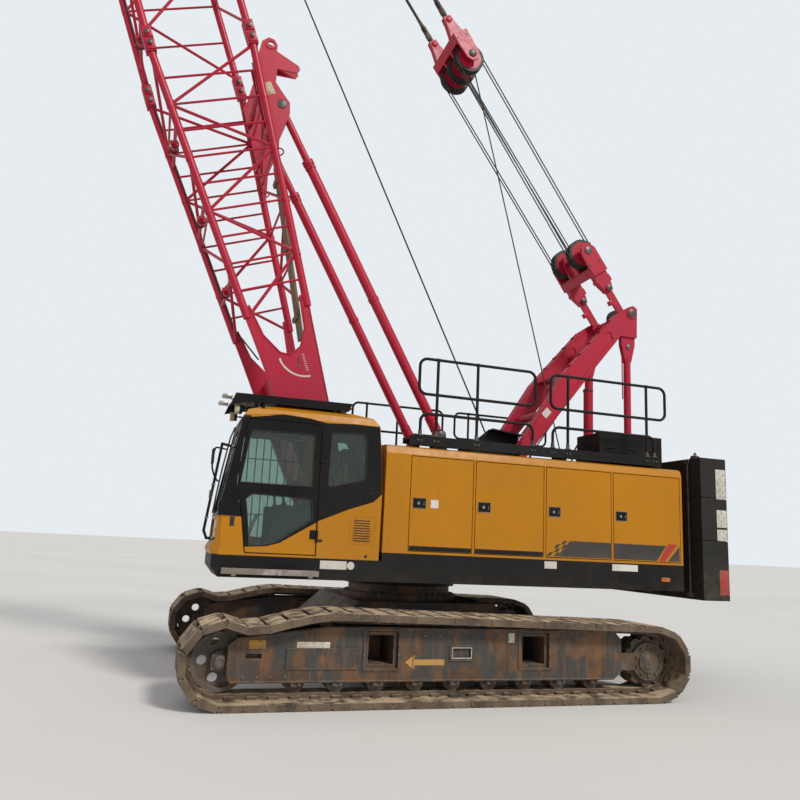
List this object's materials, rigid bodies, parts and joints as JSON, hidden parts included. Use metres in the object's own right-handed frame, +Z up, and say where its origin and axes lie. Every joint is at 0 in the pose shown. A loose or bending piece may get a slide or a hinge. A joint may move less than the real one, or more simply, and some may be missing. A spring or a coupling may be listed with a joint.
{
  "type": "lattice-boom crawler crane",
  "caption": "Crawler crane with yellow housings, operator cab, red lattice boom, gantry, winches and hook block; slews, luffs and hoists.",
  "frame": {"origin": "point on the ground under the slewing axis, midway between the tracks", "axes": "+X forward over the boom, +Y to the operator's left (cab side), +Z up"},
  "size_m": [12.2572, 4.3, 19.3885],
  "materials": {
    "undercarriage": "grey paint largely worn to brown rust and dry mud",
    "track_steel": "rusted steel with dusty tan faces",
    "drive_grey": "dusty grey paint",
    "black_paint": "satin black, dusty",
    "yellow_paint": "glossy construction yellow, slightly faded",
    "red_paint": "semi-gloss crimson",
    "machinery_grey": "oily grey",
    "tinted_glass": "tinted safety glass",
    "seat_fabric": "dark woven seat cloth",
    "cab_plastic": "dark cab trim",
    "step_alloy": "ribbed, scuffed",
    "sheave_black": "greasy black",
    "rope_steel": "greased wire rope",
    "hook_yellow": "yellow cheek plates, dark hook"
  },
  "bodies": {
    "carbody": {"carbody": "undercarriage", "track_frames": "undercarriage", "track_left": "track_steel", "track_right": "track_steel", "idlers": "track_steel", "sprockets": "drive_grey", "track_rollers": "track_steel"},
    "upper": {"turntable": "black_paint", "counterweight": "black_paint", "engine": "machinery_grey", "left_house": "yellow_paint", "right_house": "yellow_paint", "cab_shell": "yellow_paint", "cab_glass": "tinted_glass", "cab_seat": "seat_fabric", "cab_console": "cab_plastic", "cab_frame": "black_paint", "cab_guard": "black_paint", "cab_lamps": "black_paint", "cab_step": "step_alloy", "walkways": "black_paint", "handrails": "black_paint", "gantry": "red_paint", "gantry_backstays": "red_paint", "gantry_cylinder": "red_paint", "winch_guard": "black_paint"},
    "left_door_1": {"left_door_1": "yellow_paint"},
    "left_door_2": {"left_door_2": "yellow_paint"},
    "left_door_3": {"left_door_3": "yellow_paint"},
    "left_door_4": {"left_door_4": "yellow_paint"},
    "right_door_1": {"right_door_1": "yellow_paint"},
    "right_door_2": {"right_door_2": "yellow_paint"},
    "right_door_3": {"right_door_3": "yellow_paint"},
    "cab_door": {"cab_door": "black_paint", "cab_door_glass": "tinted_glass"},
    "bail": {"bail": "red_paint"},
    "main_drum": {"main_drum": "machinery_grey"},
    "aux_drum": {"aux_drum": "machinery_grey"},
    "luff_drum": {"luff_drum": "machinery_grey"},
    "boom": {"boom_foot": "red_paint", "boom_insert": "red_paint", "boom_top": "red_paint", "pendants": "rope_steel", "upper_spreader": "red_paint"},
    "head_sheaves": {"head_sheaves": "sheave_black"},
    "guide_sheave": {"guide_sheave": "sheave_black"},
    "backstop_tubes": {"backstop_tubes": "red_paint"},
    "backstop_rods": {"backstop_rods": "machinery_grey"},
    "hoist_line": {"hoist_falls": "rope_steel"},
    "hook_block": {"hook_block": "hook_yellow"}
  },
  "joints": [
    {"name": "slew", "type": "hinge", "parent": "carbody", "child": "upper", "pos_m": [0, 0, 1.06], "axis": [0, 0, 1], "continuous": true},
    {"name": "boom_luff", "type": "hinge", "parent": "upper", "child": "boom", "pos_m": [0.9, 0, 1.5], "axis": [0, -1, 0], "range_deg": [-40, 10]},
    {"name": "cab_door_hinge", "type": "hinge", "parent": "upper", "child": "cab_door", "pos_m": [1.437, 1.594, 1.5], "axis": [0, 0, 1], "range_deg": [0, 160]},
    {"name": "left_door_1_hinge", "type": "hinge", "parent": "upper", "child": "left_door_1", "pos_m": [-0.3, 1.574, 1.5], "axis": [0, 0, 1], "range_deg": [0, 90]},
    {"name": "left_door_2_hinge", "type": "hinge", "parent": "upper", "child": "left_door_2", "pos_m": [-1.188, 1.574, 1.5], "axis": [0, 0, 1], "range_deg": [0, 90]},
    {"name": "left_door_3_hinge", "type": "hinge", "parent": "upper", "child": "left_door_3", "pos_m": [-2.087, 1.574, 1.5], "axis": [0, 0, 1], "range_deg": [0, 90]},
    {"name": "left_door_4_hinge", "type": "hinge", "parent": "upper", "child": "left_door_4", "pos_m": [-3.063, 1.574, 1.5], "axis": [0, 0, 1], "range_deg": [0, 90]},
    {"name": "right_door_1_hinge", "type": "hinge", "parent": "upper", "child": "right_door_1", "pos_m": [-1.334, -1.574, 1.5], "axis": [0, 0, -1], "range_deg": [0, 90]},
    {"name": "right_door_2_hinge", "type": "hinge", "parent": "upper", "child": "right_door_2", "pos_m": [-2.194, -1.574, 1.5], "axis": [0, 0, -1], "range_deg": [0, 90]},
    {"name": "right_door_3_hinge", "type": "hinge", "parent": "upper", "child": "right_door_3", "pos_m": [-3.063, -1.574, 1.5], "axis": [0, 0, -1], "range_deg": [0, 90]},
    {"name": "main_drum_spin", "type": "hinge", "parent": "upper", "child": "main_drum", "pos_m": [-1.7, 0, 1.56], "axis": [0, 1, 0], "continuous": true},
    {"name": "aux_drum_spin", "type": "hinge", "parent": "upper", "child": "aux_drum", "pos_m": [-0.85, 0, 1.56], "axis": [0, 1, 0], "continuous": true},
    {"name": "luff_drum_spin", "type": "hinge", "parent": "upper", "child": "luff_drum", "pos_m": [-2.48, 0, 1.56], "axis": [0, 1, 0], "continuous": true},
    {"name": "head_sheave_spin", "type": "hinge", "parent": "boom", "child": "head_sheaves", "pos_m": [7.82719, 0, 19.07039], "axis": [0, 1, 0], "continuous": true},
    {"name": "guide_sheave_spin", "type": "hinge", "parent": "boom", "child": "guide_sheave", "pos_m": [7.01537, 0, 19.06789], "axis": [0, 1, 0], "continuous": true},
    {"name": "bail_swing", "type": "hinge", "parent": "upper", "child": "bail", "pos_m": [-3.156, 0, 4.958], "axis": [0, -1, 0], "range_deg": [-40, 12]},
    {"name": "backstop_swing", "type": "hinge", "parent": "upper", "child": "backstop_tubes", "pos_m": [-0.28, 0, 2.93], "axis": [0, -1, 0], "range_deg": [-43, 12]},
    {"name": "backstop_extend", "type": "slide", "parent": "backstop_tubes", "child": "backstop_rods", "axis": [0.4973, 0, 0.8676], "range_m": [-0.35, 1.3]},
    {"name": "hoist_line_swing", "type": "hinge", "parent": "boom", "child": "hoist_line", "pos_m": [7.82719, 0, 19.07039], "axis": [0, -1, 0], "range_deg": [-12, 42]},
    {"name": "hoist", "type": "slide", "parent": "hoist_line", "child": "hook_block", "axis": [0, 0, 1], "range_m": [-6, 0]}
  ],
  "couplings": [
    {"joint": "bail_swing", "follows": "boom_luff", "ratio": 0.45},
    {"joint": "backstop_swing", "follows": "boom_luff", "ratio": 1.03},
    {"joint": "backstop_extend", "follows": "boom_luff", "m_per_rad": -1.78},
    {"joint": "hoist_line_swing", "follows": "boom_luff", "ratio": -1}
  ]
}
